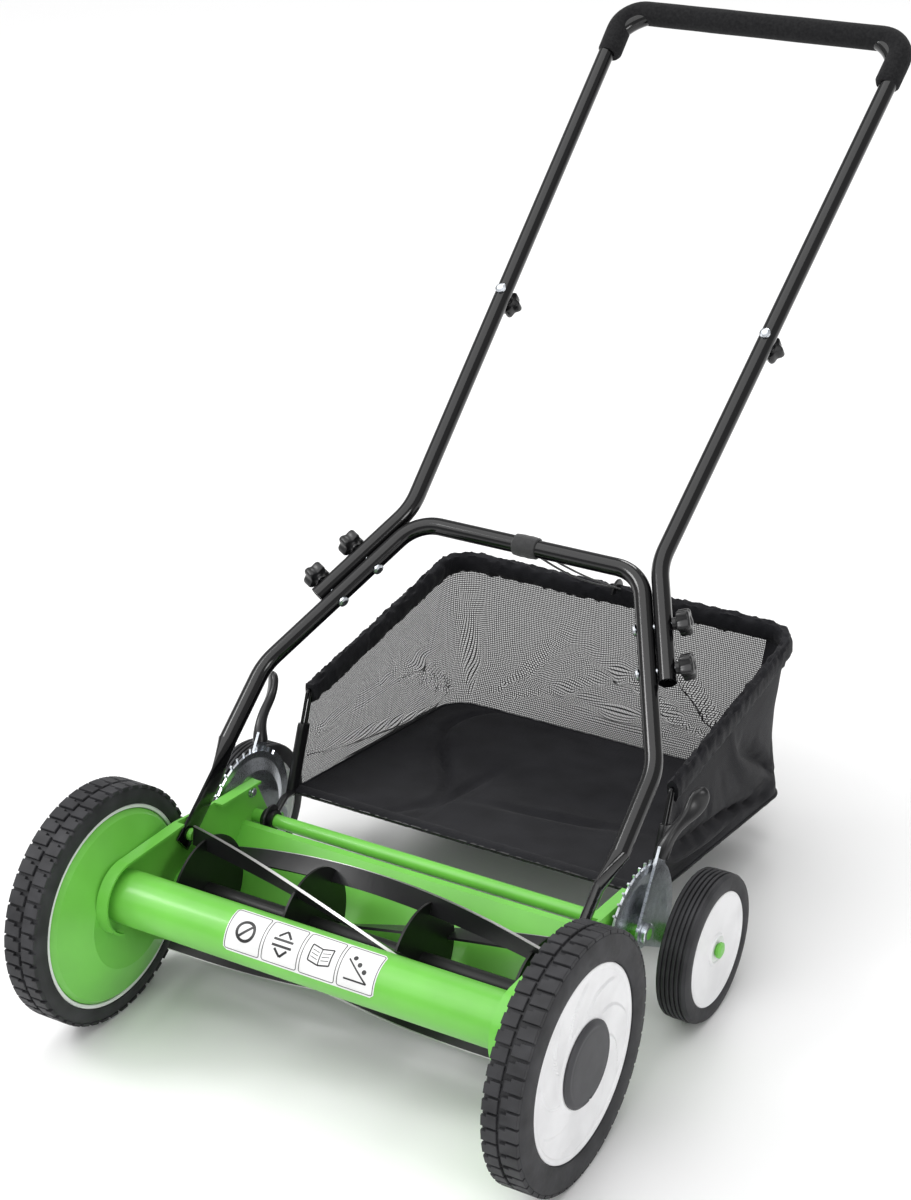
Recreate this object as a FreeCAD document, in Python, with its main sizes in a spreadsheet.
"""Push reel mower with a grass catcher, as a parametric assembly.

Frame: +X to the mower's left-to-right width, +Y from the cutting reel towards the handlebar,
+Z up, z = 0 on the ground.  The origin is on the ground, under the middle of the whole mower.
Right-hand pieces (x > 0) are modelled, and the left-hand ones are their mirror images.
"""
import FreeCAD, Part
import math
import os
import re
import Sketcher

Vector = FreeCAD.Vector
Rotation = FreeCAD.Rotation
Placement = FreeCAD.Placement
X_AXIS = Vector(1, 0, 0)

doc = FreeCAD.newDocument("reel_mower")
sizes = doc.addObject("Spreadsheet::Sheet", "Sizes")

DRIVING_SIZES = {
    # front wheels and their gear train
    "wheel_radius": 127,
    "wheel_width": 42,
    "wheel_gap": 18.5,
    "face_inset": 2,
    "shoulder": 6,
    "seat_gap": 0.3,
    "drum_radius": 107.7,
    "drum_wall": 4.2,
    "disc_radius": 96.2,
    "disc_wall": 4.5,
    "lip_width": 5,
    "hub_radius": 18,
    "hub_inset": 8,
    "axle_radius": 8,
    "axle_collar": 8,
    "collar_depth": 5,
    "running_gap": 0.05,
    "cap_radius": 43,
    "cap_height": 6.5,
    "gear_module": 2.5,
    "ring_teeth": 76,
    "pinion_teeth": 12,
    "ring_addendum": 1.5,
    "pinion_addendum": 2.2,
    "gear_dedendum": 2.8,
    "ring_wall": 3.7,
    "gear_inset": 6,
    "gear_backlash": 0.35,
    "pinion_width": 11,
    "pinion_inset": 6.5,
    # frame between the wheels
    "plate_inner": 227.5,
    "plate_wall": 3,
    "flange_width": 10,
    "flange_wall": 2.5,
    "corner_trim": 12,
    "tube_radius": 28,
    "tube_wall": 1.5,
    "tube_rise": 28.6,
    "tube_gap": 2.9,
    "nose_radius": 40,
    "plate_rise": 61,
    "plate_drop": 87,
    "cover_hub": 60,
    "cover_depth": 24,
    "cover_wall": 2,
    "cover_gap": 0.7,
    "cover_lip": 4.5,
    # reel
    "reel_drop": 12.6,
    "reel_radius": 69,
    "reel_gap": 13.5,
    "blade_count": 5,
    "blade_width": 21,
    "blade_wall": 3,
    "blade_twist": 92,
    "blade_start": 7.5,
    "spider_radius": 61,
    "spider_wall": 2.5,
    "spider_inset": 19,
    "spider_count": 4,
    "slot_gap": 0.6,
    "shaft_radius": 10,
    "journal_radius": 6,
    "bearing_radius": 14,
    "bearing_flange": 17,
    "bearing_depth": 5,
    # bed plate and bedknife under the reel
    "bed_rear": 39,
    "bed_drop": 2,
    "bed_foot": 30,
    "bed_front": 21,
    "bed_wall": 2,
    "bed_lip": 8,
    "knife_front": 1,
    "knife_depth": 36,
    "knife_wall": 3,
    "knife_gap": 0.8,
    "screw_count": 6,
    # rear rod, height adjusters and rear wheels
    "rod_gap": 64,
    "rod_drop": 5,
    "rod_radius": 7.5,
    "pivot_radius": 6,
    "nut_radius": 11,
    "nut_height": 5.5,
    "sleeve_wall": 3.3,
    "sleeve_width": 14,
    "sleeve_inset": 20.5,
    "sector_radius": 74,
    "sector_wall": 2.5,
    "sector_dish": 5,
    "sector_front": 150,
    "sector_sweep": 172,
    "notch_depth": 5,
    "notch_width": 5,
    "notch_pitch": 9.5,
    "notch_count": 11,
    "arm_wall": 3,
    "arm_gap": 2,
    "arm_hub": 16,
    "lever_angle": 60,
    "lever_reach": 86,
    "grip_lean": 17,
    "lever_length": 78,
    "lever_width": 20,
    "lever_wall": 9,
    "rear_radius": 79,
    "rear_width": 34.5,
    "rear_gap": 19.2,
    "rear_reach": 61.5,
    "rear_disc_radius": 61,
    "rear_axle_radius": 6,
    "rear_head_radius": 8.5,
    # handle: distances along it are measured from its lower bolt
    "handle_gap": 15,
    "handle_rise": 41,
    "handle_angle": 35.6,
    "handle_radius": 9.5,
    "handle_wall": 1.5,
    "leg_offset": 4.5,
    "leg_knee": 200,
    "leg_lean": 25.5,
    "crossbar_reach": 404,
    "corner_radius": 45,
    "knee_radius": 70,
    "flat_end": 14,
    "flat_length": 70,
    "flat_blend": 38,
    "flat_wall": 5.2,
    "flat_width": 27,
    "swage_bead": 0.5,
    "lap_start": 284,
    "lap_length": 139,
    "lap_gap": 0.3,
    "knob_reach": 15,
    "knob_pitch": 51,
    "joint_bolt": 19,
    "joint_reach": 685,
    "spigot_length": 45,
    "spigot_gap": 0.2,
    "splay": 2.45,
    "grip_reach": 1118,
    "grip_bend": 55,
    "grip_radius": 14.5,
    "grip_end": 1052,
    "knob_radius": 13,
    "knob_height": 14,
    "knob_neck": 5,
    "knob_bore": 12,
    "bolt_end": 11,
    "bolt_radius": 3,
    "bolt_gap": 0.2,
    "bolt_head": 6,
    "leg_bolt_radius": 4,
    "leg_bolt_head": 4.5,
    # grass catcher, measured from the rear rod it hooks on
    "bag_inset": 6.5,
    "bag_wall": 2,
    "bag_sill_y": 61,
    "bag_sill_z": -2,
    "bag_rim_y": 109,
    "bag_rim_z": 104,
    "bag_back_y": 423,
    "bag_back_z": 130,
    "bag_heel_y": 406,
    "bag_heel_z": -65,
    "wire_radius": 2.5,
    "hook_gap": 0.4,
    "strap_width": 20,
    "strap_wall": 1.6,
    "collar_width": 26,
    "collar_wall": 2,
}

for row, (alias, number) in enumerate(DRIVING_SIZES.items(), start=1):
    sizes.set(f"A{row}", alias)
    sizes.set(f"B{row}", str(number))
    sizes.setAlias(f"B{row}", alias)
doc.recompute()

# Places and sizes that several pieces share, as formulas of the cells and of each other.  Each y is
# measured from the front axle, which itself lies at axle_y, and each x from the mower's middle.
SHARED = {
    "axle_y": "(wheel_radius - handle_y - grip_reach * cos(handle_angle) - grip_radius) / 2",
    "gear_centres": "gear_module * (ring_teeth - pinion_teeth) / 2",
    "reel_y": "sqrt(gear_centres ^ 2 - reel_drop ^ 2)",
    "reel_height": "wheel_radius - reel_drop",
    "tube_height": "wheel_radius + tube_rise",
    "tube_reach": "sqrt((reel_radius + tube_radius + tube_gap) ^ 2 - (tube_rise + reel_drop) ^ 2)",
    "tube_y": "reel_y - tube_reach",
    "plate_outer": "plate_inner + plate_wall",
    "plate_top": "wheel_radius + plate_rise",
    "plate_low": "wheel_radius - plate_drop",
    "wheel_inner": "plate_outer + wheel_gap",
    "reel_length": "2 * (plate_inner - reel_gap)",
    "blade_foot": "reel_radius - blade_width",
    "bed_top_y": "reel_y + reel_radius + bed_rear",
    "bed_top_height": "wheel_radius - bed_drop",
    "bed_foot_y": "reel_y + reel_radius - bed_foot",
    "bed_front_y": "reel_y + bed_front",
    "knife_front_y": "reel_y + knife_front",
    "knife_top": "reel_height - sqrt((reel_radius + knife_gap) ^ 2 - knife_front ^ 2)",
    "rod_y": "reel_y + reel_radius + rod_gap",
    "rod_height": "wheel_radius - rod_drop",
    "sleeve_radius": "rod_radius + sleeve_wall",
    "sleeve_x": "plate_inner - sleeve_inset",
    "sector_inner": "plate_outer + seat_gap",
    "sector_outer": "sector_inner + sector_dish + sector_wall",
    "arm_inner": "sector_outer + arm_gap",
    "arm_outer": "arm_inner + arm_wall",
    "rear_inner": "arm_outer + rear_gap",
    "rear_axle_y": "rod_y + rear_reach",
    "rear_fall": "rear_radius - rod_height",
    "handle_y": "reel_y + handle_gap",
    "handle_height": "wheel_radius + handle_rise",
    "leg_half_gap": "plate_inner + leg_offset",
    "crossbar_y": "handle_y + crossbar_reach * cos(handle_angle)",
    "crossbar_height": "handle_height + crossbar_reach * sin(handle_angle)",
    "lap_offset": "2 * handle_radius + lap_gap",
    "lap_x": "leg_half_gap - (lap_start - leg_knee) * tan(leg_lean) + lap_offset * cos(leg_lean)",
    "lap_reach": "lap_start + lap_offset * sin(leg_lean)",
    "bend_x": "lap_x - lap_length * sin(leg_lean)",
    "bend_reach": "lap_reach + lap_length * cos(leg_lean)",
    "straight": "(joint_reach - bend_reach) / cos(splay)",
    "joint_x": "bend_x + straight * sin(splay)",
    "grip_x": "joint_x + (grip_reach - joint_reach) * tan(splay)",
    "bag_half": "plate_inner - bag_inset",
}

ALIAS = re.compile(r"\b(" + "|".join(DRIVING_SIZES) + r")\b")
SHARED_NAME = re.compile(r"\b(" + "|".join(SHARED) + r")\b")
kept = []


def spelled_out(formula):
    """A formula in terms of the cells alone, with each shared name replaced by its own formula."""
    while SHARED_NAME.search(formula):
        formula = SHARED_NAME.sub(lambda name: f"({SHARED[name.group(1)]})", formula)
    return formula


def bound(formula):
    """The formula as the document's objects read it, with each alias on the Sizes sheet."""
    return ALIAS.sub(r"Sizes.\1", spelled_out(formula))


def value(formula):
    """The number that a formula gives now."""
    return float(sizes.evalExpression(spelled_out(formula)))


def bind(thing, prop, formula):
    thing.setExpression(prop, bound(formula))


def place(thing, x="0", y="0", z="0"):
    """Put a piece at x, y and z; y is measured from the front axle."""
    bind(thing, "Placement.Base.x", x)
    bind(thing, "Placement.Base.y", f"axle_y + {y}")
    bind(thing, "Placement.Base.z", z)


def keep(thing):
    """Count a piece as one of the mower's sub-parts."""
    kept.append(thing)
    return thing


# ---------------------------------------------------------------- sketches and bodies

def new_body(label):
    body = doc.addObject("PartDesign::Body", label)
    body.Label = label
    return body


def new_sketch(body, name, role, offset="0"):
    """A sketch on one of the body's own origin planes, moved along the plane's normal."""
    sketch = body.newObject("Sketcher::SketchObject", name)
    plane = [feature for feature in body.Origin.OriginFeatures if feature.Role == role][0]
    sketch.AttachmentSupport = [(plane, "")]
    sketch.MapMode = "FlatFace"
    bind(sketch, "AttachmentOffset.Base.z", offset)
    return sketch


def pin_point(sketch, geometry, end, across, up):
    """Hold a point of the sketch at two distances from the sketch's origin."""
    for kind, formula in (("DistanceX", across), ("DistanceY", up)):
        index = sketch.addConstraint(
            Sketcher.Constraint(kind, -1, 1, geometry, end, value(formula)))
        bind(sketch, f"Constraints[{index}]", formula)


def draw_outline(sketch, corners):
    """A closed outline of straight edges through the corners."""
    points = [Vector(value(across), value(up), 0) for across, up in corners]
    edges = []
    for start, end in zip(points, points[1:] + points[:1]):
        edges.append(sketch.addGeometry(Part.LineSegment(start, end), False))
    for edge, following in zip(edges, edges[1:] + edges[:1]):
        sketch.addConstraint(Sketcher.Constraint("Coincident", edge, 2, following, 1))
    for edge, (across, up) in zip(edges, corners):
        pin_point(sketch, edge, 1, across, up)


def draw_circle(sketch, across, up, radius):
    centre = Vector(value(across), value(up), 0)
    circle = sketch.addGeometry(Part.Circle(centre, Vector(0, 0, 1), value(radius)), False)
    pin_point(sketch, circle, 3, across, up)
    index = sketch.addConstraint(Sketcher.Constraint("Radius", circle, value(radius)))
    bind(sketch, f"Constraints[{index}]", radius)


def pad(body, sketch, length, backwards=False, both_ways=False):
    feature = body.newObject("PartDesign::Pad", sketch.Name + "_pad")
    feature.Profile = sketch
    bind(feature, "Length", length)
    feature.Reversed = backwards
    feature.Midplane = both_ways
    doc.recompute()
    return feature


def pocket(body, sketch, length, backwards=False, both_ways=False):
    """Cut the sketch out of the body, and make sure that it did cut."""
    before = body.Shape.Volume
    feature = body.newObject("PartDesign::Pocket", sketch.Name + "_pocket")
    feature.Profile = sketch
    bind(feature, "Length", length)
    feature.Reversed = backwards
    feature.Midplane = both_ways
    doc.recompute()
    if body.Shape.Volume >= before - 0.01:
        raise ValueError(f"{feature.Name} cuts nothing")
    return feature


def polar_pattern(body, feature, count, angle="360", backwards=False):
    """Repeat a feature about the body's own X axis."""
    pattern = body.newObject("PartDesign::PolarPattern", feature.Name + "_pattern")
    axis = [item for item in body.Origin.OriginFeatures if item.Role == "X_Axis"][0]
    pattern.Originals = [feature]
    pattern.Axis = (axis, [""])
    bind(pattern, "Angle", angle)
    bind(pattern, "Occurrences", count)
    pattern.Reversed = backwards
    body.Tip = pattern
    doc.recompute()
    return pattern


def turned_body(label, corners, sweep=None, backwards=False):
    """A piece turned about its own X axis from (axial, radial) corners."""
    body = new_body(label)
    sketch = new_sketch(body, label + "_section", "XY_Plane")
    draw_outline(sketch, corners)
    turning = body.newObject("PartDesign::Revolution", label + "_turned")
    turning.Profile = sketch
    turning.ReferenceAxis = (sketch, ["H_Axis"])
    turning.Angle = 360
    turning.Reversed = backwards
    if sweep is not None:
        bind(turning, "Angle", sweep)
    doc.recompute()
    return body


def mirrored(source, label):
    """The left-hand twin of a right-hand piece."""
    twin = doc.addObject("Part::Mirroring", label)
    twin.Label = label
    twin.Source = source
    twin.Base = Vector(0, 0, 0)
    twin.Normal = X_AXIS
    doc.recompute()
    return twin


def both_sides(body, stem):
    """Keep a right-hand piece and its left-hand twin."""
    body.Label = stem + "_right"
    keep(body)
    return keep(mirrored(body, stem + "_left"))


def grouped(label, pieces):
    """Several identical small pieces that share one node."""
    group = doc.addObject("Part::Compound", label)
    group.Label = label
    group.Links = pieces
    doc.recompute()
    return keep(group)


def coded(label, shape, x=0.0, y=0.0, z=0.0, rotation=Rotation()):
    """A piece whose shape is worked out in code; y is measured from the front axle."""
    piece = doc.addObject("Part::Feature", label)
    piece.Label = label
    piece.Shape = shape
    piece.Placement = Placement(Vector(x, value("axle_y") + y, z), rotation)
    return piece


def pin(label, radius, length, x, y, z):
    """A plain round pin along X that starts at x."""
    cylinder = doc.addObject("Part::Cylinder", label)
    bind(cylinder, "Radius", radius)
    bind(cylinder, "Height", length)
    cylinder.Placement = Placement(Vector(), Rotation(Vector(0, 1, 0), 90))
    place(cylinder, x, y, z)
    return cylinder


# ---------------------------------------------------------------- gears

def involute(base, radius):
    """Angle that an involute has turned from its base circle out to a radius, in radians."""
    reach = math.sqrt(max(radius * radius / (base * base) - 1, 0))
    return reach - math.atan(reach)


def gear_face(teeth, module, tip, root, backlash, internal):
    """Face bounded by a gear's teeth; an internal gear's is the hole inside its ring."""
    pitch = module * teeth / 2
    base = pitch * math.cos(math.radians(20))
    sign = -1 if internal else 1
    half_tooth = math.pi / (2 * teeth) - sign * backlash / (4 * pitch)
    low, high = (tip, root) if internal else (root, tip)
    steps = 5
    flank = []
    for step in range(steps + 1):
        radius = low + (high - low) * step / steps
        turn = involute(base, pitch) - involute(base, max(radius, base))
        flank.append((radius, half_tooth + turn))
    points = []
    for tooth in range(teeth):
        middle = 2 * math.pi * tooth / teeth
        sides = [(radius, middle - turn) for radius, turn in flank]
        sides += [(radius, middle + turn) for radius, turn in reversed(flank)]
        points += [Vector(0, radius * math.cos(turn), radius * math.sin(turn)) for radius, turn in sides]
    return Part.Face(Part.makePolygon(points + points[:1]))


def mesh_phase():
    """Turn of the pinion about X that puts one of its teeth in a gap of the ring gear."""
    line = math.atan2(-value("reel_drop"), value("reel_y"))
    ring_pitch = 2 * math.pi / value("ring_teeth")
    pinion_pitch = 2 * math.pi / value("pinion_teeth")
    into_gap = (line / ring_pitch) % 1
    return line - pinion_pitch * into_gap


def make_ring_gear():
    """Internal gear inside the wheel; the spaces between its teeth are a gear-shaped hole."""
    pitch = value("gear_module * ring_teeth / 2")
    tip = pitch - value("ring_addendum")
    root = pitch + value("gear_dedendum")
    length = value("wheel_width - lip_width - disc_wall - gear_inset")
    outside = Part.makeCylinder(root + value("ring_wall"), length, Vector(), X_AXIS)
    hole = gear_face(int(value("ring_teeth")), value("gear_module"), tip, root,
                     value("gear_backlash"), True)
    inside = hole.extrude(Vector(length + 2, 0, 0))
    inside.translate(Vector(-1, 0, 0))
    return coded("ring_gear_right", outside.cut(inside), value("wheel_inner + gear_inset"), 0,
                 value("wheel_radius"))


def make_pinion():
    """Small gear on the reel's shaft end, in mesh with the ring gear of the wheel."""
    pitch = value("gear_module * pinion_teeth / 2")
    face = gear_face(int(value("pinion_teeth")), value("gear_module"), pitch + value("pinion_addendum"),
                     pitch - value("gear_dedendum"), value("gear_backlash"), False)
    width = value("pinion_width")
    bore = Part.makeCylinder(value("journal_radius"), width + 2, Vector(-1, 0, 0), X_AXIS)
    shape = face.extrude(Vector(width, 0, 0)).cut(bore)
    turn = Rotation(X_AXIS, math.degrees(mesh_phase()))
    return coded("pinion_right", shape, value("wheel_inner + pinion_inset"), value("reel_y"),
                 value("reel_height"), turn)


# ---------------------------------------------------------------- front wheels

def make_front_tyre():
    tyre = turned_body("front_tyre", [
        ("0", "drum_radius + seat_gap"),
        ("0", "wheel_radius - shoulder"),
        ("shoulder", "wheel_radius"),
        ("wheel_width - shoulder", "wheel_radius"),
        ("wheel_width", "wheel_radius - shoulder"),
        ("wheel_width", "disc_radius + seat_gap"),
        ("wheel_width - lip_width", "disc_radius + seat_gap"),
        ("wheel_width - lip_width", "drum_radius + seat_gap"),
    ])
    place(tyre, "wheel_inner", "0", "wheel_radius")
    return tyre


def make_front_rim():
    """Moulded wheel: hub, outer disc and the drum that carries the tyre."""
    inner_face = "wheel_width - face_inset - disc_wall"
    rim = turned_body("front_rim", [
        ("hub_inset", "axle_radius + running_gap"),
        ("wheel_width - face_inset", "axle_radius + running_gap"),
        ("wheel_width - face_inset", "disc_radius"),
        ("wheel_width - lip_width - seat_gap", "disc_radius"),
        ("wheel_width - lip_width - seat_gap", "drum_radius"),
        ("1", "drum_radius"),
        ("1", "drum_radius - drum_wall"),
        ("wheel_width - lip_width - disc_wall", "drum_radius - drum_wall"),
        ("wheel_width - lip_width - disc_wall", "disc_radius - 4"),
        (inner_face, "disc_radius - 7"),
        (inner_face, "hub_radius"),
        ("hub_inset", "hub_radius"),
    ])
    place(rim, "wheel_inner", "0", "wheel_radius")
    return rim


def make_hub_cap():
    cap = turned_body("hub_cap", [
        ("0", "0"),
        ("0", "cap_radius"),
        ("cap_height * 0.45", "cap_radius"),
        ("cap_height * 0.8", "cap_radius * 0.85"),
        ("cap_height", "cap_radius * 0.55"),
        ("cap_height", "0"),
    ])
    place(cap, "wheel_inner + wheel_width - face_inset", "0", "wheel_radius")
    return cap


def make_front_wheels():
    both_sides(make_front_tyre(), "front_tyre")
    both_sides(make_front_rim(), "front_rim")
    both_sides(make_hub_cap(), "hub_cap")
    both_sides(make_ring_gear(), "ring_gear")


# ---------------------------------------------------------------- frame

def make_side_plate():
    """Pressed steel side: a flat plate with a flange round its nose and along its top."""
    depth = "plate_wall + flange_width"
    plate = new_body("side_plate")
    outline = new_sketch(plate, "plate_outline", "YZ_Plane", "plate_inner - flange_width")
    draw_outline(outline, [
        ("tube_y - nose_radius * 0.5", "tube_height - nose_radius * 0.866"),
        ("tube_y", "tube_height"),
        ("tube_y", "tube_height + nose_radius"),
        ("handle_y - 14", "plate_top + 1"),
        ("handle_y + 50", "plate_top - corner_trim"),
        ("rod_y + 4", "rod_height + 44"),
        ("rod_y + 24", "rod_height - 9"),
        ("rod_y + 13", "rod_height - 28"),
        ("bed_foot_y + 10", "plate_low"),
        ("reel_y", "plate_low"),
        ("0", "wheel_radius - 32"),
    ])
    pad(plate, outline, depth)
    nose = new_sketch(plate, "plate_nose", "YZ_Plane", "plate_inner - flange_width")
    draw_circle(nose, "tube_y", "tube_height", "nose_radius")
    pad(plate, nose, depth)
    inside = new_sketch(plate, "plate_inside", "YZ_Plane", "plate_inner - flange_width")
    draw_outline(inside, [
        ("tube_y - nose_radius * 0.5", "tube_height - nose_radius"),
        ("tube_y", "tube_height"),
        ("tube_y", "tube_height + nose_radius - flange_wall"),
        ("handle_y - 14", "plate_top + 1 - flange_wall"),
        ("handle_y - 10", "plate_top + 8"),
        ("handle_y + 50", "plate_top + 8"),
        ("handle_y + 51", "plate_top - corner_trim - flange_wall"),
        ("rod_y + 2", "rod_height + 44 - flange_wall"),
        ("rod_y + 8", "rod_height + 60"),
        ("rod_y + 60", "rod_height"),
        ("rod_y + 40", "rod_height - 50"),
        ("bed_foot_y + 10", "plate_low - 10"),
        ("reel_y", "plate_low - 10"),
        ("0", "wheel_radius - 50"),
    ])
    pocket(plate, inside, "flange_width", backwards=True)
    hollow = new_sketch(plate, "nose_inside", "YZ_Plane", "plate_inner - flange_width")
    draw_circle(hollow, "tube_y", "tube_height", "nose_radius - flange_wall")
    pocket(plate, hollow, "flange_width", backwards=True)
    holes = new_sketch(plate, "plate_holes", "YZ_Plane", "plate_inner - flange_width")
    draw_circle(holes, "0", "wheel_radius", "axle_radius")
    draw_circle(holes, "reel_y", "reel_height", "bearing_radius")
    draw_circle(holes, "rod_y", "rod_height", "pivot_radius")
    draw_circle(holes, "handle_y", "handle_height", "leg_bolt_radius")
    pocket(plate, holes, depth, backwards=True)
    place(plate)
    return plate


def make_gear_cover():
    """Dished cover between the side plate and the wheel, closing the gear side."""
    rim_radius = "drum_radius - drum_wall - cover_gap"
    shelf = f"{rim_radius} - cover_lip"
    cover = turned_body("gear_cover", [
        ("0", "axle_radius + axle_collar + 1"),
        ("0", "cover_hub"),
        ("cover_depth * 0.64", shelf),
        ("cover_depth * 0.86", rim_radius),
        ("cover_depth", rim_radius),
        ("cover_depth", f"{rim_radius} - cover_wall"),
        ("cover_depth * 0.9", f"{rim_radius} - cover_wall"),
        ("cover_depth * 0.64 + cover_wall / 2", f"{shelf} - cover_wall"),
        ("cover_wall", "cover_hub - 1"),
        ("cover_wall", "axle_radius + axle_collar + 1"),
    ])
    opening = new_sketch(cover, "cover_opening", "YZ_Plane")
    draw_circle(opening, "reel_y", "-reel_drop", "journal_radius + 5")
    pocket(cover, opening, "cover_depth * 2", both_ways=True)
    place(cover, "plate_outer", "0", "wheel_radius")
    return cover


def make_front_tube():
    """The round front tube that ties the two side plates."""
    tube = new_body("front_tube")
    section = new_sketch(tube, "front_tube_section", "YZ_Plane")
    draw_circle(section, "0", "0", "tube_radius")
    draw_circle(section, "0", "0", "tube_radius - tube_wall")
    pad(tube, section, "plate_inner * 2", both_ways=True)
    place(tube, "0", "tube_y", "tube_height")
    return keep(tube)


def make_front_axle():
    """Stub axle on the plate's outer face, with a collar that sits inside the gear cover."""
    end = "wheel_inner + wheel_width - face_inset - seat_gap"
    axle = turned_body("front_axle_right", [
        ("0", "0"),
        ("0", "axle_radius"),
        ("plate_wall", "axle_radius"),
        ("plate_wall", "axle_radius + axle_collar"),
        ("plate_wall + collar_depth", "axle_radius + axle_collar"),
        ("plate_wall + collar_depth", "axle_radius"),
        (f"{end} - plate_inner", "axle_radius"),
        (f"{end} - plate_inner", "0"),
    ])
    place(axle, "plate_inner", "0", "wheel_radius")
    return axle


def make_reel_bearing():
    bearing = turned_body("reel_bearing_right", [
        ("-bearing_depth", "journal_radius + running_gap"),
        ("-bearing_depth", "bearing_flange"),
        ("0", "bearing_flange"),
        ("0", "bearing_radius"),
        ("plate_wall", "bearing_radius"),
        ("plate_wall", "journal_radius + running_gap"),
    ])
    place(bearing, "plate_inner", "reel_y", "reel_height")
    return bearing


def make_bed_plate():
    """Sloping sheet behind the reel that ends in a flat foot on top of the bedknife."""
    foot = "(knife_top + bed_wall)"
    bed = new_body("bed_plate")
    section = new_sketch(bed, "bed_section", "YZ_Plane")
    draw_outline(section, [
        ("bed_top_y", "bed_top_height"),
        ("bed_foot_y", foot),
        ("bed_front_y", foot),
        ("bed_front_y", "knife_top"),
        ("bed_foot_y + bed_wall / 2", "knife_top"),
        ("bed_top_y + bed_wall * 0.6", "bed_top_height - bed_wall"),
        ("bed_top_y + bed_lip", "bed_top_height - bed_wall"),
        ("bed_top_y + bed_lip", "bed_top_height"),
    ])
    pad(bed, section, "plate_inner * 2", both_ways=True)
    place(bed)
    return keep(bed)


def make_bedknife():
    knife = new_body("bedknife")
    section = new_sketch(knife, "knife_section", "YZ_Plane")
    draw_outline(section, [
        ("knife_front_y", "knife_top"),
        ("knife_front_y + knife_depth", "knife_top"),
        ("knife_front_y + knife_depth", "knife_top - knife_wall"),
        ("knife_front_y + 3", "knife_top - knife_wall"),
    ])
    pad(knife, section, "plate_inner * 2", both_ways=True)
    place(knife)
    return keep(knife)


def make_bed_screws():
    """Row of screw heads under the bedknife."""
    screws = []
    count = int(value("screw_count"))
    for index in range(count):
        share = (index + 0.5) / count * 2 - 1
        screw = doc.addObject("Part::Cylinder", f"bed_screw_{index + 1}")
        bind(screw, "Radius", "bolt_head")
        bind(screw, "Height", "bolt_radius")
        place(screw, f"plate_inner * {share:.4f}", "knife_front_y + knife_depth * 0.6",
              "knife_top - knife_wall - bolt_radius")
        screws.append(screw)
    return grouped("bed_screws", screws)


def make_rear_rod():
    """Rear rod between the plates; its reduced ends are the height adjusters' pivots."""
    end = "(arm_outer + seat_gap + nut_height)"
    rod = turned_body("rear_rod", [
        (f"-{end}", "0"),
        (f"-{end}", "pivot_radius"),
        ("-plate_inner", "pivot_radius"),
        ("-plate_inner", "rod_radius"),
        ("plate_inner", "rod_radius"),
        ("plate_inner", "pivot_radius"),
        (end, "pivot_radius"),
        (end, "0"),
    ])
    place(rod, "0", "rod_y", "rod_height")
    return keep(rod)


def make_rod_sleeve():
    sleeve = turned_body("rod_sleeve_right", [
        ("0", "rod_radius"),
        ("0", "sleeve_radius"),
        ("sleeve_width", "sleeve_radius"),
        ("sleeve_width", "rod_radius"),
    ])
    place(sleeve, "sleeve_x - sleeve_width / 2", "rod_y", "rod_height")
    return sleeve


def make_pivot_nut():
    nut = turned_body("pivot_nut_right", [
        ("0", "pivot_radius"),
        ("0", "nut_radius"),
        ("nut_height - 1", "nut_radius"),
        ("nut_height", "nut_radius - 1"),
        ("nut_height", "pivot_radius"),
    ])
    place(nut, "arm_outer + seat_gap", "rod_y", "rod_height")
    return nut


def make_sector():
    """Dished zinc-plated sector outside the plate; its rim's notches run back from its front end."""
    sector = turned_body("adjuster_sector", [
        ("0", "pivot_radius"),
        ("0", "sector_radius - 25"),
        ("sector_dish", "sector_radius - 12"),
        ("sector_dish", "sector_radius"),
        ("sector_dish + sector_wall", "sector_radius"),
        ("sector_dish + sector_wall", "sector_radius - 13"),
        ("sector_wall", "sector_radius - 26"),
        ("sector_wall", "pivot_radius"),
    ], "sector_sweep", backwards=True)
    notch = new_sketch(sector, "sector_notch", "XY_Plane")
    draw_outline(notch, [
        ("-1", "sector_radius - notch_depth"),
        ("sector_dish + sector_wall + 1", "sector_radius - notch_depth"),
        ("sector_dish + sector_wall + 1", "sector_radius + 5"),
        ("-1", "sector_radius + 5"),
    ])
    first = pocket(sector, notch, "notch_width * 2", both_ways=True)
    polar_pattern(sector, first, "notch_count + 1", "notch_pitch * notch_count", backwards=True)
    place(sector, "sector_inner", "rod_y", "rod_height")
    sector.Placement = Placement(sector.Placement.Base, Rotation(X_AXIS, 0))
    bind(sector, "Placement.Rotation.Angle", "sector_front")
    return sector


def make_frame():
    both_sides(make_side_plate(), "side_plate")
    both_sides(make_gear_cover(), "gear_cover")
    make_front_tube()
    axle = make_front_axle()
    grouped("front_axles", [axle, mirrored(axle, "front_axle_left")])
    bearing = make_reel_bearing()
    grouped("reel_bearings", [bearing, mirrored(bearing, "reel_bearing_left")])
    make_bed_plate()
    make_bedknife()
    make_bed_screws()
    make_rear_rod()
    sleeve = make_rod_sleeve()
    grouped("rod_sleeves", [sleeve, mirrored(sleeve, "rod_sleeve_left")])
    nut = make_pivot_nut()
    grouped("pivot_nuts", [nut, mirrored(nut, "pivot_nut_left")])
    both_sides(make_sector(), "adjuster_sector")


# ---------------------------------------------------------------- reel

def blade_angle(share):
    """Turn about X of the first blade's section, at a share of the reel's length."""
    return f"(blade_start + blade_twist * {share:.4f})"


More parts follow.
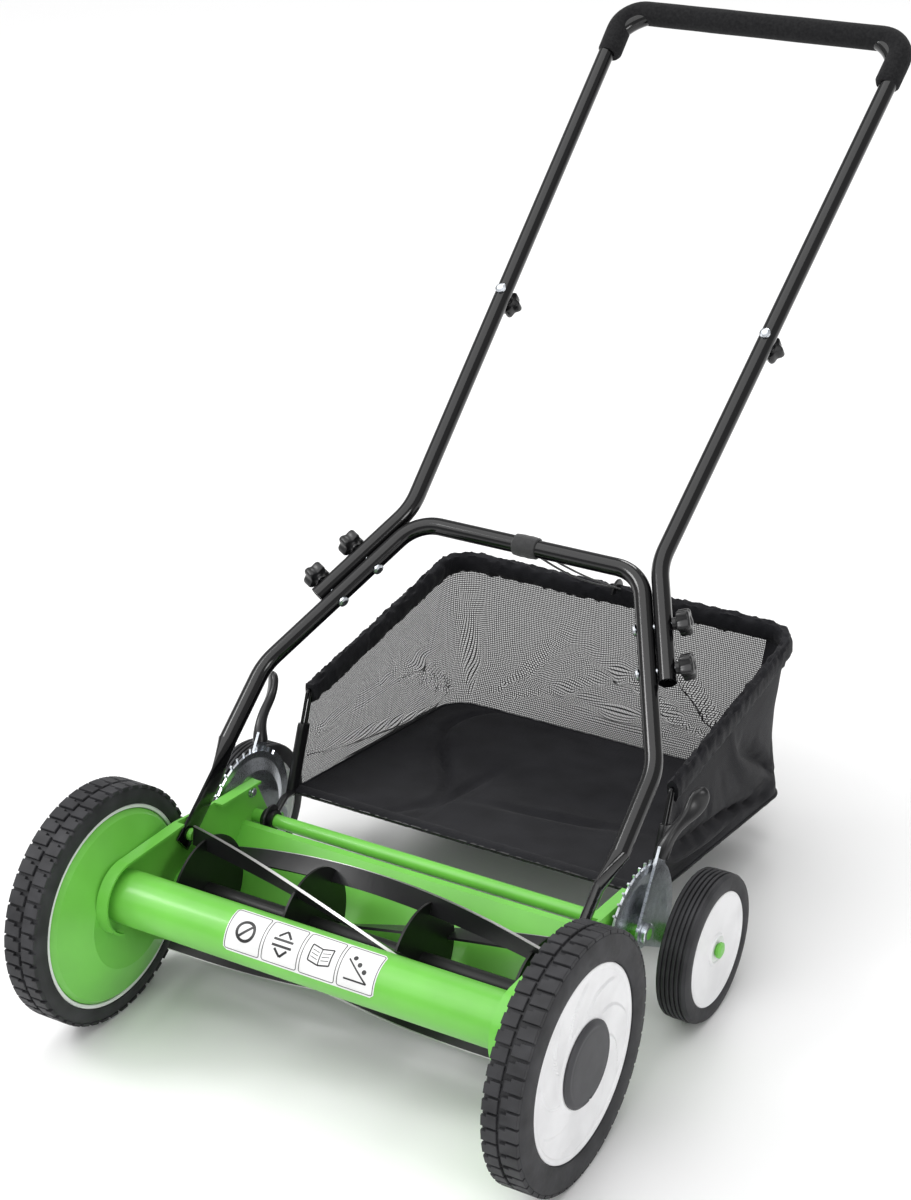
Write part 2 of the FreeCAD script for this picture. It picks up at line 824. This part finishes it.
def make_blade(index):
    """One helical blade, lofted through sections that turn evenly along the reel."""
    blade = new_body(f"reel_blade_{index + 1}")
    sections = []
    steps = 6
    for step in range(steps + 1):
        share = step / steps
        name = f"blade_{index + 1}_section_{step + 1}"
        section = new_sketch(blade, name, "YZ_Plane", f"reel_length * {share - 0.5:.4f}")
        angle = f"{blade_angle(share)} + {index} * 360 / blade_count"
        bind(section, "AttachmentOffset.Rotation.Angle", angle)
        draw_outline(section, [
            ("blade_foot", "-blade_wall / 2"),
            ("reel_radius", "-blade_wall / 2"),
            ("reel_radius", "blade_wall / 2"),
            ("blade_foot", "blade_wall / 2"),
        ])
        sections.append(section)
    loft = blade.newObject("PartDesign::AdditiveLoft", f"blade_{index + 1}_loft")
    loft.Profile = sections[0]
    loft.Sections = sections[1:]
    place(blade, "0", "reel_y", "reel_height")
    return keep(blade)


def make_spider(index, count):
    """Round disc on the shaft, with a slot for each blade."""
    share = index / (count - 1)
    spider = turned_body(f"reel_spider_{index + 1}", [
        ("-spider_wall / 2", "shaft_radius"),
        ("-spider_wall / 2", "spider_radius"),
        ("spider_wall / 2", "spider_radius"),
        ("spider_wall / 2", "shaft_radius"),
    ])
    slot = new_sketch(spider, f"spider_{index + 1}_slot", "YZ_Plane")
    draw_outline(slot, [
        ("blade_foot - slot_gap", "-blade_wall / 2 - slot_gap"),
        ("spider_radius + 3", "-blade_wall / 2 - slot_gap"),
        ("spider_radius + 3", "blade_wall / 2 + slot_gap"),
        ("blade_foot - slot_gap", "blade_wall / 2 + slot_gap"),
    ])
    first = pocket(spider, slot, "spider_wall * 2", both_ways=True)
    polar_pattern(spider, first, "blade_count")
    offset = f"((reel_length / 2 - spider_inset) * {2 * share - 1:.4f})"
    place(spider, offset, "reel_y", "reel_height")
    spider.Placement = Placement(spider.Placement.Base, Rotation(X_AXIS, 0))
    bind(spider, "Placement.Rotation.Angle",
         f"blade_start + blade_twist * (0.5 + {offset} / reel_length)")
    return spider


def make_reel_shaft():
    end = "(wheel_inner + pinion_inset + pinion_width + 2)"
    shoulder = "(plate_inner - bearing_depth - slot_gap)"
    shaft = turned_body("reel_shaft", [
        (f"-{end}", "0"),
        (f"-{end}", "journal_radius"),
        (f"-{shoulder}", "journal_radius"),
        (f"-{shoulder}", "shaft_radius"),
        (shoulder, "shaft_radius"),
        (shoulder, "journal_radius"),
        (end, "journal_radius"),
        (end, "0"),
    ])
    place(shaft, "0", "reel_y", "reel_height")
    return keep(shaft)


def make_reel():
    make_reel_shaft()
    count = int(value("spider_count"))
    grouped("reel_spiders", [make_spider(index, count) for index in range(count)])
    for index in range(int(value("blade_count"))):
        make_blade(index)
    both_sides(make_pinion(), "pinion")


# ---------------------------------------------------------------- height adjusters, rear wheels

def make_adjuster_arm():
    """Zinc-plated arm on the rod's end: it carries the rear axle and the hand lever."""
    tip_y = "(lever_reach * cos(lever_angle))"
    tip_z = "(lever_reach * sin(lever_angle))"
    arm = new_body("adjuster_arm")
    outline = new_sketch(arm, "arm_outline", "YZ_Plane")
    draw_outline(outline, [
        ("-arm_hub * 0.7", "arm_hub * 0.7"),
        (f"{tip_y} - 6", f"{tip_z} + 6"),
        (f"{tip_y} + 6", f"{tip_z} - 6"),
        ("arm_hub * 2.4", "arm_hub * 0.6"),
        ("rear_reach + 9", "rear_fall + 9"),
        ("rear_reach - 6", "rear_fall - 12"),
        ("0", "-arm_hub"),
    ])
    pad(arm, outline, "arm_wall")
    hub = new_sketch(arm, "arm_hub", "YZ_Plane")
    draw_circle(hub, "0", "0", "arm_hub")
    pad(arm, hub, "arm_wall")
    boss = new_sketch(arm, "arm_boss", "YZ_Plane")
    draw_circle(boss, "rear_reach", "rear_fall", "rear_axle_radius * 2 + 1")
    pad(arm, boss, "arm_wall")
    holes = new_sketch(arm, "arm_holes", "YZ_Plane")
    draw_circle(holes, "0", "0", "pivot_radius + running_gap")
    draw_circle(holes, "rear_reach", "rear_fall", "rear_axle_radius")
    pocket(arm, holes, "arm_wall * 3", both_ways=True)
    place(arm, "arm_inner", "rod_y", "rod_height")
    return arm


def make_lever_grip():
    """Spoon-shaped plastic grip on the arm's tip, leaning out and back."""
    grip = new_body("lever_grip")
    stem = new_sketch(grip, "grip_stem", "YZ_Plane")
    draw_outline(stem, [
        ("0", "-lever_width * 0.28"),
        ("lever_length * 0.6", "-lever_width * 0.28"),
        ("lever_length * 0.6", "lever_width * 0.28"),
        ("0", "lever_width * 0.28"),
    ])
    pad(grip, stem, "lever_wall", both_ways=True)
    bowl = new_sketch(grip, "grip_bowl", "YZ_Plane")
    draw_circle(bowl, "lever_length - lever_width * 0.9", "0", "lever_width * 0.4")
    pad(grip, bowl, "lever_wall", both_ways=True)
    end = new_sketch(grip, "grip_end", "YZ_Plane")
    draw_circle(end, "lever_length - lever_width / 2", "0", "lever_width / 2")
    pad(grip, end, "lever_wall * 0.8", both_ways=True)
    upright = Rotation(X_AXIS, value("lever_angle") + 4)
    leaning = Rotation(Vector(0, 0, 1), -value("grip_lean"))
    grip.Placement = Placement(Vector(), upright.multiply(leaning))
    place(grip, "arm_inner + arm_wall / 2", "rod_y + (lever_reach - 8) * cos(lever_angle)",
          "rod_height + (lever_reach - 8) * sin(lever_angle)")
    return grip


def make_rear_axle():
    """Axle bolt fixed in the arm, with a spacer collar and a round head outside the wheel."""
    collar = "(arm_wall + rear_gap)"
    head = "(arm_wall + rear_gap + rear_width + seat_gap)"
    axle = turned_body("rear_axle", [
        ("0", "0"),
        ("0", "rear_axle_radius"),
        ("arm_wall", "rear_axle_radius"),
        ("arm_wall", "rear_axle_radius + 4"),
        (collar, "rear_axle_radius + 4"),
        (collar, "rear_axle_radius"),
        (head, "rear_axle_radius"),
        (head, "rear_head_radius"),
        (f"{head} + 2.5", "rear_head_radius"),
        (f"{head} + 4", "rear_head_radius * 0.6"),
        (f"{head} + 4", "0"),
    ])
    place(axle, "arm_inner", "rear_axle_y", "rear_radius")
    return axle


def make_rear_tyre():
    tyre = turned_body("rear_tyre", [
        ("0", "rear_disc_radius + seat_gap"),
        ("0", "rear_radius - 4"),
        ("4", "rear_radius"),
        ("rear_width - 4", "rear_radius"),
        ("rear_width", "rear_radius - 4"),
        ("rear_width", "rear_disc_radius + seat_gap"),
    ])
    place(tyre, "rear_inner", "rear_axle_y", "rear_radius")
    return tyre


def make_rear_rim():
    """Moulded wheel with a hub, a slightly dished disc and a drum under the tyre."""
    rim = turned_body("rear_rim", [
        ("0.5", "rear_axle_radius + running_gap"),
        ("rear_width", "rear_axle_radius + running_gap"),
        ("rear_width", "rear_axle_radius + 7"),
        ("rear_width - 3.5", "rear_axle_radius + 9"),
        ("rear_width - 3.5", "rear_disc_radius - 3"),
        ("rear_width - 1", "rear_disc_radius - 2"),
        ("rear_width - 1", "rear_disc_radius"),
        ("1", "rear_disc_radius"),
        ("1", "rear_disc_radius - 4"),
        ("rear_width - 7", "rear_disc_radius - 4"),
        ("rear_width - 7", "rear_axle_radius + 7"),
        ("0.5", "rear_axle_radius + 7"),
    ])
    place(rim, "rear_inner", "rear_axle_y", "rear_radius")
    return rim


def make_adjusters():
    both_sides(make_adjuster_arm(), "adjuster_arm")
    both_sides(make_lever_grip(), "lever_grip")
    both_sides(make_rear_axle(), "rear_axle")
    both_sides(make_rear_tyre(), "rear_tyre")
    both_sides(make_rear_rim(), "rear_rim")


# ---------------------------------------------------------------- handle

def place_on_handle(thing, x, reach, lift="0", turn=Rotation()):
    """Put a piece on the handle's sloping plane, at a width x and a distance along it."""
    slope = Rotation(X_AXIS, value("handle_angle"))
    thing.Placement = Placement(Vector(), slope.multiply(turn))
    place(thing, x, f"handle_y + {reach} * cos(handle_angle) - {lift} * sin(handle_angle)",
          f"handle_height + {reach} * sin(handle_angle) + {lift} * cos(handle_angle)")


def tangent_arc(before, corner, after, radius):
    """Arc of a radius that rounds a corner, with its ends in travel order and if it turns left."""
    back = (before - corner).normalize()
    ahead = (after - corner).normalize()
    half = back.getAngle(ahead) / 2
    start = corner + back * (radius / math.tan(half))
    end = corner + ahead * (radius / math.tan(half))
    bisector = (back + ahead).normalize()
    centre = corner + bisector * (radius / math.sin(half))
    middle = centre - bisector * radius
    turns_left = back.cross(ahead).z < 0
    return start, middle, end, turns_left


def draw_bent_path(sketch, corners, radii):
    """Path of straight runs joined by tangent arcs; every corner and radius is bound."""
    points = [Vector(value(across), value(up), 0) for across, up in corners]
    arcs = [tangent_arc(*points[index:index + 3], value(radii[index]))
            for index in range(len(points) - 2)]
    starts = [points[0]] + [arc[2] for arc in arcs]
    ends = [arc[0] for arc in arcs] + [points[-1]]
    lines = [sketch.addGeometry(Part.LineSegment(start, end), False)
             for start, end in zip(starts, ends)]
    for index, (start, middle, end, turns_left) in enumerate(arcs):
        curve = Part.Arc(start, middle, end) if turns_left else Part.Arc(end, middle, start)
        arc = sketch.addGeometry(curve, False)
        first, last = (1, 2) if turns_left else (2, 1)
        sketch.addConstraint(Sketcher.Constraint("Tangent", lines[index], 2, arc, first))
        sketch.addConstraint(Sketcher.Constraint("Tangent", arc, last, lines[index + 1], 1))
        number = sketch.addConstraint(Sketcher.Constraint("Radius", arc, value(radii[index])))
        bind(sketch, f"Constraints[{number}]", radii[index])
        corner = sketch.addGeometry(Part.Point(points[index + 1]), True)
        pin_point(sketch, corner, 1, *corners[index + 1])
        sketch.addConstraint(Sketcher.Constraint("PointOnObject", corner, 1, lines[index]))
        sketch.addConstraint(Sketcher.Constraint("PointOnObject", corner, 1, lines[index + 1]))
    pin_point(sketch, lines[0], 1, *corners[0])
    pin_point(sketch, lines[-1], 2, *corners[-1])


def add_bent_tube(body, role, centre, corners, radii, outer, inner):
    """Sweep a tube's ring section along a bent path in the body's XY plane."""
    path = new_sketch(body, body.Name + "_path", "XY_Plane")
    draw_bent_path(path, corners, radii)
    section = new_sketch(body, body.Name + "_ring", role)
    draw_circle(section, *centre, outer)
    draw_circle(section, *centre, inner)
    sweep = body.newObject("PartDesign::AdditivePipe", body.Name + "_pipe")
    sweep.Profile = section
    sweep.Spine = path
    doc.recompute()
    return sweep


def add_mirror_half(body, feature):
    """Mirror a feature in the body's YZ plane, which makes a half into a whole."""
    plane = [item for item in body.Origin.OriginFeatures if item.Role == "YZ_Plane"][0]
    mirror = body.newObject("PartDesign::Mirrored", feature.Name + "_mirror")
    mirror.Originals = [feature]
    mirror.MirrorPlane = (plane, [""])
    body.Tip = mirror
    doc.recompute()


def u_tube(label, corners, radii, outer, inner):
    """A U-shaped tube on the handle's plane, from its middle down to one end and mirrored."""
    body = new_body(label)
    half = add_bent_tube(body, "YZ_Plane", (corners[0][1], "0"), corners, radii, outer, inner)
    add_mirror_half(body, half)
    place_on_handle(body, "0", "0")
    return body


def drilled(label, solid, drills):
    """A solid with its bolt holes cut by round drills."""
    tool = doc.addObject("Part::Compound", label + "_drills")
    tool.Links = drills
    result = doc.addObject("Part::Cut", label)
    result.Label = label
    result.Base = solid
    result.Tool = tool
    doc.recompute()
    return result


def drill(name, radius, length):
    """A round cutter along its own X axis, through its origin and both ways from it."""
    cutter = turned_body(name, [
        (f"-({length})", "0"),
        (f"-({length})", radius),
        (length, radius),
        (length, "0"),
    ])
    return cutter


def lap_bolt_places():
    """Width and reach of the two bolts on the inner side of the right leg's lap."""
    places = []
    for step in range(2):
        along = f"(lap_start + (knob_reach + knob_pitch * {step}) * cos(leg_lean))"
        centre = f"(leg_half_gap - ({along} - leg_knee) * tan(leg_lean))"
        places.append((f"({centre} - handle_radius * cos(leg_lean))",
                       f"({along} - handle_radius * sin(leg_lean))"))
    return places


def lap_turn():
    """Turn that points a piece's X axis across the lap, away from the middle."""
    return Rotation(Vector(0, 0, 1), value("leg_lean"))


def joint_bolt_place():
    """Width and reach of the bolt through the joint of the upper handle."""
    return "(joint_x + joint_bolt * sin(splay))", "(joint_reach + joint_bolt * cos(splay))"


def joint_turn():
    """Turn that points a piece's X axis down through the handle's plane."""
    return Rotation(Vector(0, 1, 0), 90)


def handle_drills(stem):
    """Cutters for the bolts of both laps and both joints."""
    cutters = []
    for number, (x, reach) in enumerate(lap_bolt_places(), start=1):
        cutter = drill(f"{stem}_lap_drill_{number}", "bolt_radius + bolt_gap", "handle_radius * 8")
        place_on_handle(cutter, x, reach, turn=lap_turn())
        cutters += [cutter, mirrored(cutter, f"{stem}_lap_drill_{number}_left")]
    x, reach = joint_bolt_place()
    cutter = drill(f"{stem}_joint_drill", "bolt_radius + bolt_gap", "handle_radius * 3")
    place_on_handle(cutter, x, reach, turn=joint_turn())
    return cutters + [cutter, mirrored(cutter, f"{stem}_joint_drill_left")]


def flat_section(name, x, reach, half_wide, half_thick):
    """Elliptic section across a leg's flattened end; its long axis is across the handle."""
    section = doc.addObject("Part::Ellipse", name)
    bind(section, "MajorRadius", half_wide)
    bind(section, "MinorRadius", half_thick)
    place_on_handle(section, x, reach, turn=Rotation(Vector(1, 1, 1), 240))
    return section


def make_flat_end():
    """Flattened end of the right leg, blending into its round tube."""
    flat_x = "(plate_inner - flat_wall / 2)"
    sections = [
        flat_section("flat_foot", flat_x, "(-flat_end)", "flat_width / 2", "flat_wall / 2"),
        flat_section("flat_top", flat_x, "flat_length", "flat_width / 2", "flat_wall / 2"),
        flat_section("flat_round", "leg_half_gap", "(flat_length + flat_blend)",
                     "handle_radius + swage_bead * 1.02", "handle_radius + swage_bead"),
    ]
    loft = doc.addObject("Part::Loft", "flat_end")
    loft.Sections = sections
    loft.Solid = True
    loft.Ruled = True
    doc.recompute()
    return loft


def make_lower_handle():
    """Lower U frame: crossbar, leaning legs, upright legs and flattened, bolted ends."""
    legs = u_tube("lower_tube", [
        ("0", "crossbar_reach"),
        ("leg_half_gap - (crossbar_reach - leg_knee) * tan(leg_lean)", "crossbar_reach"),
        ("leg_half_gap", "leg_knee"),
        ("leg_half_gap", "flat_length + flat_blend"),
    ], ["corner_radius", "knee_radius"], "handle_radius", "handle_radius - handle_wall")
    end = make_flat_end()
    whole = doc.addObject("Part::MultiFuse", "lower_whole")
    whole.Shapes = [legs, end, mirrored(end, "flat_end_left")]
    bolt_drill = pin("handle_drill", "leg_bolt_radius + bolt_gap", "plate_inner * 4", "-plate_inner * 2",
                     "handle_y", "handle_height")
    cutters = handle_drills("lower")[:4] + [bolt_drill]
    return keep(drilled("lower_handle", whole, cutters))


def make_middle_tube():
    """Tube bolted to the outer side of the right leg; its top is reduced to fit the upper handle."""
    body = new_body("middle_tube")
    add_bent_tube(body, "XZ_Plane", ("0", "0"), [
        ("0", "0"),
        ("0", "-straight"),
        ("lap_length * sin(leg_lean + splay)", "-straight - lap_length * cos(leg_lean + splay)"),
    ], ["knee_radius"], "handle_radius", "handle_radius - handle_wall")
    spigot = new_sketch(body, "spigot_ring", "XZ_Plane", "5")
    draw_circle(spigot, "0", "0", "handle_radius - handle_wall - spigot_gap")
    draw_circle(spigot, "0", "0", "handle_radius - handle_wall * 2 - spigot_gap")
    pad(body, spigot, "spigot_length + 5", backwards=True)
    neck = new_sketch(body, "neck_ring", "XZ_Plane", "0")
    draw_circle(neck, "0", "0", "handle_radius - handle_wall / 2")
    draw_circle(neck, "0", "0", "handle_radius - handle_wall * 2 - spigot_gap")
    pad(body, neck, "3")
    place_on_handle(body, "joint_x", "joint_reach", turn=Rotation(Vector(0, 0, -1), value("splay")))
    return drilled("middle_tube_right", body, handle_drills("middle"))


def make_upper_handle():
    tube = u_tube("upper_tube", [
        ("0", "grip_reach"),
        ("grip_x", "grip_reach"),
        ("joint_x", "joint_reach"),
    ], ["grip_bend"], "handle_radius", "handle_radius - handle_wall")
    return keep(drilled("upper_handle", tube, handle_drills("upper")[4:]))


def make_foam_grip():
    """Foam sleeve over the handlebar, its bends and the tops of its sides."""
    return keep(u_tube("foam_grip", [
        ("0", "grip_reach"),
        ("grip_x", "grip_reach"),
        ("grip_x - (grip_reach - grip_end) * tan(splay)", "grip_end"),
    ], ["grip_bend"], "grip_radius", "handle_radius"))


def make_bolt(name, length):
    """Round-headed bolt along X; its head's underside is at its origin."""
    return turned_body(name, [
        ("-3.5", "0"),
        ("-3.5", "bolt_head * 0.6"),
        ("-2", "bolt_head"),
        ("0", "bolt_head"),
        ("0", "bolt_radius"),
        (length, "bolt_radius"),
        (length, "0"),
    ])


def make_knob(name):
    """Lobed hand knob along X with a blind thread for its bolt."""
    knob = turned_body(name, [
        ("0", "bolt_radius + running_gap"),
        ("0", "knob_radius * 0.6"),
        ("knob_neck", "knob_radius * 0.6"),
        ("knob_neck", "knob_radius * 0.8"),
        ("knob_neck + knob_height", "knob_radius * 0.8"),
        ("knob_neck + knob_height", "0"),
        ("knob_bore", "0"),
        ("knob_bore", "bolt_radius + running_gap"),
    ])
    lobe = new_sketch(knob, name + "_lobe", "YZ_Plane", "knob_neck")
    draw_circle(lobe, "knob_radius * 0.75", "0", "knob_radius * 0.35")
    first = pad(knob, lobe, "knob_height")
    polar_pattern(knob, first, "5")
    return knob


def make_handle_fasteners():
    """Bolts and knobs of the laps and joints, and the two bolts that hold the legs."""
    bolts = []
    for number, (x, reach) in enumerate(lap_bolt_places(), start=1):
        bolt = make_bolt(f"lap_bolt_{number}", "handle_radius * 4 + lap_gap + bolt_end")
        place_on_handle(bolt, x, reach, turn=lap_turn())
        bolts += [bolt, mirrored(bolt, f"lap_bolt_{number}_left")]
        knob = make_knob(f"lap_knob_{number}")
        out = "(handle_radius * 4 + lap_gap * 2)"
        place_on_handle(knob, f"({x} + {out} * cos(leg_lean))",
                        f"({reach} + {out} * sin(leg_lean))", turn=lap_turn())
        both_sides(knob, f"lap_knob_{number}")
    x, reach = joint_bolt_place()
    bolt = make_bolt("joint_bolt", "handle_radius * 2 + bolt_end")
    place_on_handle(bolt, x, reach, "handle_radius", joint_turn())
    bolts += [bolt, mirrored(bolt, "joint_bolt_left")]
    knob = make_knob("joint_knob")
    place_on_handle(knob, x, reach, "(-handle_radius - lap_gap)", joint_turn())
    both_sides(knob, "joint_knob")
    grouped("knob_bolts", bolts)
    leg_bolt = turned_body("leg_bolt_right", [
        ("-flat_wall - leg_bolt_head", "0"),
        ("-flat_wall - leg_bolt_head", "leg_bolt_radius * 1.3"),
        ("-flat_wall - leg_bolt_head / 2", "leg_bolt_radius * 1.65"),
        ("-flat_wall", "leg_bolt_radius * 1.65"),
        ("-flat_wall", "leg_bolt_radius"),
        ("plate_wall", "leg_bolt_radius"),
        ("plate_wall", "leg_bolt_radius * 1.65"),
        ("plate_wall + leg_bolt_head", "leg_bolt_radius * 1.65"),
        ("plate_wall + leg_bolt_head", "0"),
    ])
    place(leg_bolt, "plate_inner", "handle_y", "handle_height")
    grouped("leg_bolts", [leg_bolt, mirrored(leg_bolt, "leg_bolt_left")])


def make_handle():
    make_lower_handle()
    both_sides(make_middle_tube(), "middle_tube")
    make_upper_handle()
    make_foam_grip()
    make_handle_fasteners()


# ---------------------------------------------------------------- grass catcher

def make_bag():
    """Open-topped and open-fronted bag: floor, back and two sides."""
    slope = "((bag_sill_z - bag_heel_z) / (bag_heel_y - bag_sill_y))"
    bag = new_body("catcher_bag")
    outline = new_sketch(bag, "bag_outline", "YZ_Plane")
    draw_outline(outline, [
        ("bag_sill_y", "bag_sill_z"),
        ("bag_heel_y", "bag_heel_z"),
        ("bag_back_y", "bag_back_z"),
        ("bag_rim_y", "bag_rim_z"),
    ])
    pad(bag, outline, "bag_half * 2", both_ways=True)
    inside = new_sketch(bag, "bag_inside", "YZ_Plane")
    draw_outline(inside, [
        ("bag_sill_y - 20", f"bag_sill_z + bag_wall + 20 * {slope}"),
        ("bag_heel_y - bag_wall", "bag_heel_z + bag_wall"),
        ("bag_back_y - bag_wall + 3", "bag_back_z + 30"),
        ("bag_rim_y - 80", "bag_rim_z + 60"),
    ])
    pocket(bag, inside, "(bag_half - bag_wall) * 2", both_ways=True)
    place(bag, "0", "rod_y", "rod_height")
    return keep(bag)


def wire_run(start, end, radius):
    """Straight run of round wire with a ball at its start, so that runs join at corners."""
    run = Part.makeCylinder(radius, (end - start).Length, start, end - start)
    return [run, Part.makeSphere(radius, start)]


def make_catcher_frame():
    """Steel wire frame: rim, front uprights, sill and two hooks round the rod's sleeves."""
    half = value("bag_half")
    radius = value("wire_radius")
    sill = Vector(half, value("bag_sill_y"), value("bag_sill_z"))
    rim = Vector(half, value("bag_rim_y"), value("bag_rim_z"))
    back = Vector(half, value("bag_back_y"), value("bag_back_z"))
    right = [sill, rim, back]
    left = [Vector(-point.x, point.y, point.z) for point in reversed(right)]
    corners = right + left
    pieces = []
    for start, end in zip(corners, corners[1:] + corners[:1]):
        pieces += wire_run(start, end, radius)
    ring_inside = value("sleeve_radius + hook_gap")
    ring_outside = ring_inside + radius
    for side in (1, -1):
        middle = side * value("sleeve_x")
        arm_start = Vector(middle, ring_inside + radius / 2, 0)
        pieces += wire_run(arm_start, Vector(side * half, sill.y, sill.z), radius)
        ring = Part.makeCylinder(ring_outside, radius * 2, Vector(middle - radius, 0, 0), X_AXIS)
        pieces.append(ring)
    shape = pieces[0].multiFuse(pieces[1:])
    for side in (1, -1):
        middle = side * value("sleeve_x")
        bore = Part.makeCylinder(ring_inside, radius * 8, Vector(middle - radius * 4, 0, 0), X_AXIS)
        shape = shape.cut(bore)
    return keep(coded("catcher_frame", shape.removeSplitter(), 0, value("rod_y"), value("rod_height")))


def make_strap():
    """Strap that hangs the catcher's back from the handle's crossbar, and its collar there."""
    drop_y = "(rod_y + bag_back_y - crossbar_y)"
    drop_z = "(rod_height + bag_back_z - crossbar_height)"
    length = f"sqrt({drop_y} ^ 2 + {drop_z} ^ 2)"
    strap = new_body("catcher_strap")
    band = new_sketch(strap, "strap_band", "XY_Plane")
    start = "(handle_radius + collar_wall + 0.3)"
    draw_outline(band, [
        ("-strap_width / 2", start),
        ("strap_width / 2", start),
        ("strap_width / 2", f"{length} - wire_radius - 0.3"),
        ("-strap_width / 2", f"{length} - wire_radius - 0.3"),
    ])
    pad(strap, band, "strap_wall", both_ways=True)
    angle = math.degrees(math.atan2(value(drop_z), value(drop_y)))
    strap.Placement = Placement(Vector(), Rotation(X_AXIS, angle))
    place(strap, "0", "crossbar_y", "crossbar_height")
    keep(strap)
    collar = turned_body("strap_collar", [
        ("-collar_width / 2", "handle_radius"),
        ("-collar_width / 2", "handle_radius + collar_wall"),
        ("collar_width / 2", "handle_radius + collar_wall"),
        ("collar_width / 2", "handle_radius"),
    ])
    place(collar, "0", "crossbar_y", "crossbar_height")
    keep(collar)


def make_catcher():
    make_catcher_frame()
    make_bag()
    make_strap()


# ---------------------------------------------------------------- whole mower

def check_document():
    """Stop if any object failed, or if any sub-part's shape can't be used."""
    for thing in doc.Objects:
        if "Invalid" in thing.State or "Error" in thing.State:
            raise ValueError(f"{thing.Label} did not recompute: {thing.State}")
    for thing in kept:
        if thing.Shape.isNull() or not thing.Shape.isValid() or not thing.Shape.Solids:
            raise ValueError(f"{thing.Label} has no valid solid")


def write_parts():
    os.makedirs("parts", exist_ok=True)
    for thing in kept:
        thing.Shape.exportStep(f"parts/{thing.Label}.step")


make_front_wheels()
make_frame()
make_reel()
make_adjusters()
make_handle()
make_catcher()
doc.recompute()
check_document()
write_parts()
for thing in kept:
    print(thing.Label, round(thing.Shape.Volume / 1000, 1), "cm3")
